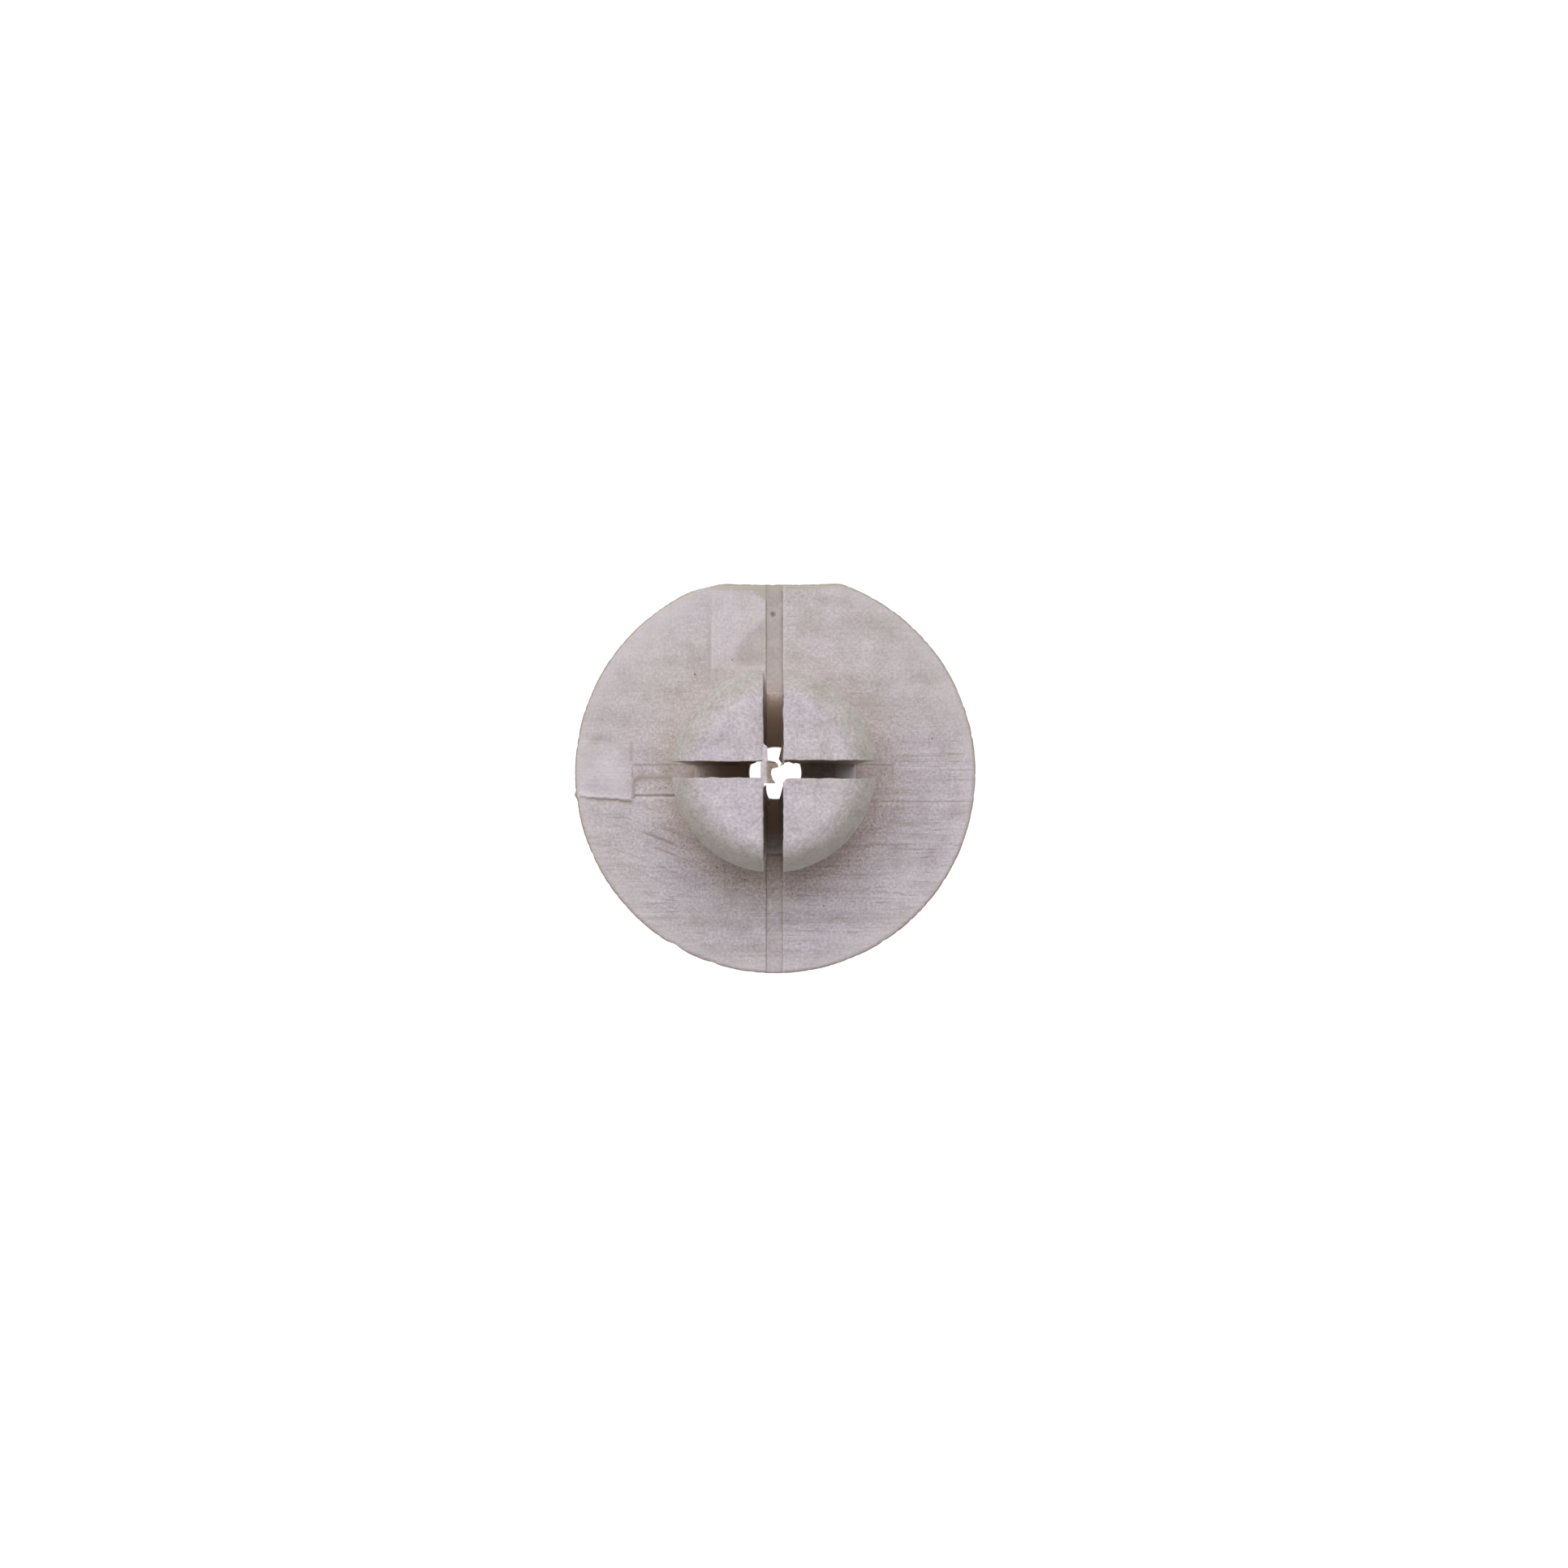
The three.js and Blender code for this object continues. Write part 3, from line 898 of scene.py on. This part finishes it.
def leg_points(corner, slot_x, slot_y, foot, tip, round_x):
    """Points of one leg on the +X +Y side, as grids: outside, both slot faces, bore and foot."""
    wall = wall_points(foot, tip)
    tip_start = wall[-1][0]
    shares = (np.arange(1, TIP_RINGS + 1) / TIP_RINGS) ** 1.15
    rings = [(tip_start + (corner - tip_start) * s, tip) for s in shares]
    profile = np.array(wall + rings)
    step = np.gradient(profile, axis=0)
    normal = np.stack([step[:, 1], -step[:, 0]], 1)
    normal /= np.linalg.norm(normal, axis=1, keepdims=True)
    columns = spread_of_columns()
    outside = []
    for (r, z), (out, up) in zip(profile, normal):
        first, last = math.asin(min(1, slot_y / r)), math.acos(min(1, slot_x / r))
        angle = first + (last - first) * columns
        drop = 0 * angle
        away_x, away_y = r * np.cos(angle) - slot_x, r * np.sin(angle) - slot_y
        for rounding, away in ((EDGE_ROUND, away_y), (round_x, away_x)):
            left = np.clip(rounding - away.clip(0), 0, None)
            drop = np.maximum(drop, rounding - np.sqrt(rounding**2 - left**2))
        row = on_arc(r - out * drop, angle, z - up * drop)
        row[:, 0] = row[:, 0].clip(slot_x)
        row[:, 1] = row[:, 1].clip(slot_y)
        outside.append(row)
    outside = np.array(outside)
    top = len(wall) - 1
    faces = []
    for column, axis, half in ((-1, 1, slot_x), (0, 0, slot_y)):
        reach = outside[top:, column, axis]
        share = (reach - reach[0]) / (reach[-1] - reach[0])
        sheet = []
        for j in range(top):
            edge = outside[j, column]
            bore = max(bore_radius(edge[2]), corner)
            inner = math.sqrt(bore**2 - half**2)
            row = np.repeat(edge[None], len(share), 0)
            row[:, axis] = edge[axis] + (inner - edge[axis]) * share
            sheet.append(row)
        sheet.append(outside[top:, column].copy())
        faces.append(np.array(sheet))
    face_x, face_y = faces
    bore = []
    for j in range(top):
        z = outside[j, 0, 2]
        radius = max(bore_radius(z), corner)
        first, last = math.asin(slot_y / radius), math.acos(slot_x / radius)
        angle = first + (last - first) * columns
        bore.append(on_arc(radius, angle, z))
    bore.append(outside[-1].copy())
    base = []
    for k in range(len(rings) + 1):
        start, end = face_y[0, k], face_x[0, k]
        radius = np.linspace(np.hypot(*start[:2]), np.hypot(*end[:2]), len(columns))
        first, last = math.atan2(start[1], start[0]), math.atan2(end[1], end[0])
        angle = first + (last - first) * columns
        base.append(on_arc(radius, angle, foot))
    return [outside, face_x, face_y, np.array(bore), np.array(base)]


def ragged(points, slot_x, slot_y, tip, seed):
    """Moves the points near a slot's edge a little to and fro, as a blade leaves them."""
    for axis, half, other in ((0, slot_x, 1), (1, slot_y, 0)):
        away = points[:, axis] - half
        near = np.exp(-away / RAG_WIDTH) * (points[:, other] < RAG_END)
        high = np.exp(-(tip - points[:, 2]).clip(0) / RAG_DEPTH)
        along = np.stack([points[:, other], 0.25 * points[:, 2], 0 * away], 1)
        shift = 0.026 * waver(along, 2.2, seed + axis)
        shift += 0.024 * waver(along, 8.0, seed + 5 + axis)
        points[:, axis] += shift * near * (0.25 + 0.75 * high)


def leg(number, box, hinge_low, tip):
    slot_x, slot_y = (min(abs(box[0][i]), abs(box[1][i])) / MM for i in (0, 1))
    slot_y += SLOT_SHIFTS[number]
    foot = hinge_low - SINK
    round_x = WORN_ROUND if LEG_SIDES[number][0] < 0 else EDGE_ROUND
    grids = leg_points(CORNER_RADII[number], slot_x, slot_y, foot, tip, round_x)
    points, faces, start = [], [], 0
    for grid in grids:
        rows, cols = grid.shape[:2]
        points.append(grid.reshape(-1, 3))
        for j in range(rows - 1):
            for i in range(cols - 1):
                a = start + j * cols + i
                faces.append((a, a + 1, a + cols + 1, a + cols))
        start += rows * cols
    points = np.concatenate(points)
    ragged(points, slot_x, slot_y, tip, 20 * number)
    high = smoothstep(tip - 2, tip, points[:, 2])
    points[:, 2] += TIP_UNEVEN * waver(points, 0.9, number) * high - TIP_GAP
    points[:, 2] = points[:, 2].clip(foot, tip)
    side = LEG_SIDES[number]
    points[:, 0] *= side[0]
    points[:, 1] *= side[1]
    made = object_of(f"leg_moulding_{number}", points, faces, LEG_CREASE)
    wear_leg(made, slot_x, slot_y, foot, tip)
    return made


def wear_leg(made, slot_x, slot_y, foot, tip):
    p = corners_of(made)
    x, y, z = abs(p[:, 0]) - slot_x, abs(p[:, 1]) - slot_y, p[:, 2]
    r = np.hypot(p[:, 0], p[:, 1])
    wall = np.interp(z, *zip(*sorted((b, a) for a, b in wall_points(foot, tip))))
    depth = np.minimum(wall - r, tip - z).clip(0)
    inside = (np.minimum(x, y) < ON_WALL) | (r < 1.6) & (z < tip - 0.1)
    across = (y < ON_WALL) * (p[:, 0] > 0)
    lit = (x < ON_WALL) * (p[:, 0] < 0)
    # Painted shade in the slots: darker with depth, less so on the lit walls and on the walls of
    # the horizontal slot's +X arm.
    slot = np.where(lit, smoothstep(0.8, 4.5, depth), smoothstep(0.05, 1.4, depth))
    slot *= inside * (1 - 0.5 * across)
    edge = ridge(np.minimum(x, y).clip(0), 0.03) * smoothstep(0.16, 0.02, depth)
    # A painted highlight round the edge of the tip face.
    rim = ridge(r - TIP_RADIUS, 0.16) * (z > tip - 0.4)
    low = 0.5 - 0.5 * p[:, 1] / r.clip(0.1)
    # Painted shade: a warm tint on the nose's lower flank, towards -Y.
    warm = 0.5 * smoothstep(tip - 0.6, tip - 1.6, z) * low
    # Painted shade: the nose's flanks darker than the tip face, more so towards -Y.
    flank = smoothstep(tip - 0.08, tip - 0.45, z) * (1 - slot)
    stain = flank * (0.22 + 0.68 * smoothstep(0.4, 1.0, low))
    # A painted highlight down the lit walls, near the top.
    lit_wall_highlight = lit * smoothstep(0.6, 0.05, depth)
    pale = 0.5 * edge + 0.12 * rim + 0.6 * lit_wall_highlight
    shade(made, slot=slot, pale=pale, stain=stain, beige=0.25 * edge, warm=warm)


# ---------------------------------------------------------------- film and torn bits


# Painted shade on the torn spike and the flash fins, which lie in the slots.
SPIKE_PAINTED_SHADE = dict(slot=0.35, pale=0, stain=0.6, beige=0, warm=0.5)
FIN_PAINTED_SHADE = dict(slot=0.7, pale=0, stain=0.4, beige=0, warm=0.5)


def skin_faces(rows, cols):
    """Faces of a closed skin from two grids of points, one over the other."""
    half = rows * cols
    cells = [j * cols + i for j in range(rows - 1) for i in range(cols - 1)]
    faces = [(a, a + 1, a + cols + 1, a + cols) for a in cells]
    faces += [tuple(half + v for v in reversed(face)) for face in faces]
    border = [*range(cols)]
    border += [j * cols + cols - 1 for j in range(1, rows)]
    border += [(rows - 1) * cols + i for i in range(cols - 2, -1, -1)]
    border += [j * cols for j in range(rows - 2, 0, -1)]
    return faces + [(a, half + a, half + b, b) for a, b in zip(border, border[1:] + border[:1])]


def sheet_of(name, centre, thickness):
    """A thin solid from a grid of points on its upper side."""
    rows, cols = centre.shape[:2]
    upper = centre.reshape(-1, 3)
    lower = upper - [0, 0, thickness]
    return object_of(name, np.concatenate([upper, lower]), skin_faces(rows, cols), SHEET_CREASE)


def tip_film(tip):
    """The film across one slot: a crest along its wall, and a torn skin that droops off it."""
    skin = []
    rows, cols = SKIN_POINTS
    for y in np.linspace(*SKIN_ENDS, rows):
        left = SKIN_CREST[0] if abs(y) > SKIN_MIDDLE else SKIN_CREST[1]
        right = np.interp(y, *zip(*SKIN_EDGE))
        right += 0.012 * noise.noise(Vector((0, y * 7, 2.0)))
        row = []
        for x in np.linspace(left, right, cols):
            fall = float(smoothstep(*SKIN_FALL, x - left)) if y < SKIN_LEVEL else 0
            z = tip - 0.03 - SKIN_DROOP * fall
            z -= 0.01 * noise.noise(Vector((x * 5, y * 5, 1.0)))
            row.append((x, y, z - (0.05 if y > 0.95 else 0)))
        skin.append(row)
    film = sheet_of("tip_film", np.array(skin), SKIN_THICKNESS)
    p = corners_of(film)
    # Painted shade on the drooping skin, which turns away from the light in the slot; a painted
    # highlight on the crest.
    low = smoothstep(-0.30, -0.2, p[:, 0]) * (p[:, 1] < 0.41)
    shade(film, slot=0.25 * low, stain=0.5 * low, pale=0.45 * (1 - low), beige=0.3 * low, warm=low)
    return film


def worn(made, layer_values):
    """Gives every point of a small piece the same layer values; the spike and the fins get their
    painted shade this way.
    """
    count = len(made.data.vertices)
    shade(made, **{name: np.full(count, value) for name, value in layer_values.items()})
    return made


def shard(name, stem, point, width):
    """A torn sliver that tapers from its stem to its point."""
    stem, point = np.array(stem), np.array(point)
    side = np.cross(point - stem, (0, 0, 1.0))
    side *= width / np.linalg.norm(side)
    rings = []
    for i in range(SPIKE_RINGS):
        t = i / (SPIKE_RINGS - 1)
        centre = stem + (point - stem) * t + np.array([0.02 * math.sin(4 * t), 0, -0.03 * t * t])
        reach = (1 - t) ** 0.7 + 0.05
        up = np.array([0, 0, 0.06 * reach])
        corners = ((-1, 0), (0, 0.6), (1, 0), (0, -1.4))
        rings.append([tuple(centre + side * reach * a + up * b) for a, b in corners])
    return worn(object_of(name, *stacked(rings), SLIVER_CREASE), SPIKE_PAINTED_SHADE)


def flash_fin(name, wall, axis, side, ends, reaches, tip, depth):
    """A thin fin of flash that stands off a slot's wall, beside the bore."""
    share = np.linspace(0, 1, FIN_COUNT)
    along = ends[0] + (ends[1] - ends[0]) * share
    reach = np.interp(share, np.linspace(0, 1, len(reaches)), reaches)
    thin = np.sin(np.pi * share).clip(0) ** 0.5
    fin, root = np.zeros((2, FIN_COUNT, FIN_COUNT, 3))
    for grid in (fin, root):
        grid[:, :, 1 - axis] = along * side[1 - axis]
        grid[:, :, 2] = (tip - depth[0] - (depth[1] - depth[0]) * share)[:, None]
    fin[:, :, axis] = side[axis] * (wall + FIN_SINK - thin[:, None] * (reach + FIN_SINK))
    root[:, :, axis] = side[axis] * (wall + FIN_SINK + 0.005)
    points = np.concatenate([fin.reshape(-1, 3), root.reshape(-1, 3)])
    faces = skin_faces(FIN_COUNT, FIN_COUNT)
    return worn(object_of(name, points, faces, SLIVER_CREASE), FIN_PAINTED_SHADE)


# ---------------------------------------------------------------- studio


def studio():
    scene = bpy.context.scene
    scene.view_settings.view_transform = "Standard"
    world = bpy.data.worlds.new("studio")
    world.use_nodes = True
    world.node_tree.nodes["Background"].inputs["Color"].default_value = (*[WORLD_GREY] * 3, 1)
    scene.world = world

    lens = bpy.data.cameras.new("camera")
    lens.lens = CAMERA_LENS
    lens.sensor_width = CAMERA_SENSOR
    lens.clip_start = 0.001
    lens.clip_end = 10
    camera = bpy.data.objects.new("camera", lens)
    camera.location = [v * MM for v in CAMERA_PLACE]
    scene.collection.objects.link(camera)
    scene.camera = camera
    lay_floor(scene)
    hang_lights(scene)


def lay_floor(scene):
    """A plain sheet of white paper that glows softly under and round the plug."""
    half = FLOOR_HALF * MM
    corners = [(-half, -half), (half, -half), (half, half), (-half, half)]
    sheet = bpy.data.meshes.new("floor")
    sheet.from_pydata([(x, y, -FLOOR_GAP * MM) for x, y in corners], [], [(0, 1, 2, 3)])
    floor = bpy.data.objects.new("floor", sheet)
    scene.collection.objects.link(floor)
    paper = bpy.data.materials.new("floor_paper")
    n = Nodes(paper)
    n.surface.inputs["Base Color"].default_value = (*[FLOOR_REFLECTION] * 3, 1)
    n.surface.inputs["Roughness"].default_value = 1
    n.surface.inputs["Specular IOR Level"].default_value = 0
    n.surface.inputs["Emission Color"].default_value = (1, 1, 1, 1)
    away = n.make("ShaderNodeVectorMath", {"operation": "LENGTH"})
    n.feed(away, "0", n.make("ShaderNodeTexCoord").outputs["Object"])
    inner, outer = (d * MM for d in GLOW_EDGE)
    glow = n.stretch(away.outputs["Value"], inner, outer, FLOOR_GLOW, GLOW_BEYOND)
    n.feed(n.surface, "Emission Strength", glow)
    sheet.materials.append(paper)


def hang_lights(scene):
    half = math.radians(LIGHT_RADIUS_DEGREES)
    size = 2 * LIGHT_DISTANCE * MM * math.tan(half)
    for i, (tilt, turn, strength, colour) in enumerate(LIGHTS):
        tilt, turn = math.radians(tilt), math.radians(turn)
        level = math.sin(tilt)
        away = Vector((level * math.cos(turn), level * math.sin(turn), math.cos(tilt)))
        lamp = bpy.data.lights.new(f"softbox_{i}", "AREA")
        lamp.shape = "DISK"
        lamp.size = size
        lamp.color = colour
        lamp.energy = strength / math.sin(half) ** 2 * math.pi**2 * (size / 2) ** 2
        holder = bpy.data.objects.new(lamp.name, lamp)
        holder.location = away * LIGHT_DISTANCE * MM
        holder.rotation_euler = away.to_track_quat("Z", "Y").to_euler()
        scene.collection.objects.link(holder)


# ---------------------------------------------------------------- assembly


def main():
    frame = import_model()
    studio()
    face_plastic = plastic("flange_plastic", FACE_GRIT, tooled=True)
    shank_plastic = plastic("shank_plastic", SHANK_GRIT)

    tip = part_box("leg_1")[1].z / MM
    hinge_low, hinge_high = (v.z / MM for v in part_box("leg_root_1"))

    low, high = (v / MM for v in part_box("flange"))
    plate = flange(low, high)
    plate.data.materials.append(face_plastic)
    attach(plate, "body")
    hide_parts("flange")

    ring = collar(hinge_low)
    ring.data.materials.append(shank_plastic)
    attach(ring, "body")
    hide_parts("root_collar")

    for number in LEG_SIDES:
        made = leg(number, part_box(f"leg_{number}"), hinge_low, tip)
        made.data.materials.append(shank_plastic)
        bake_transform(made)
        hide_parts(f"leg_root_{number}", f"leg_{number}")

    film = tip_film(tip)
    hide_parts("tip_web")
    slot_x, slot_y = (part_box("leg_1")[0][i] / MM for i in (0, 1))
    past, up, down = SPIKE_POINT
    stem, point = (slot_x + 0.03, slot_y + 0.05, tip - 0.08), (slot_x - past, up, tip - down)
    spike = shard("torn_spike", stem, point, SPIKE_WIDTH)
    loose = [(film, "leg_2"), (spike, "leg_1")]
    for number, axis, ends, reaches, depth in FINS:
        wall = slot_y + SLOT_SHIFTS[number] if axis else slot_x
        name = f"bore_flash_{number}{'xy'[axis]}"
        fin = flash_fin(name, wall, axis, LEG_SIDES[number], ends, reaches, tip, depth)
        loose.append((fin, f"leg_{number}"))
    for piece, body in loose:
        piece.data.materials.append(shank_plastic)
        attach(piece, body)

    for node in frame["nodes"].values():
        node.data.materials.clear()
        node.data.materials.append(shank_plastic)


main()
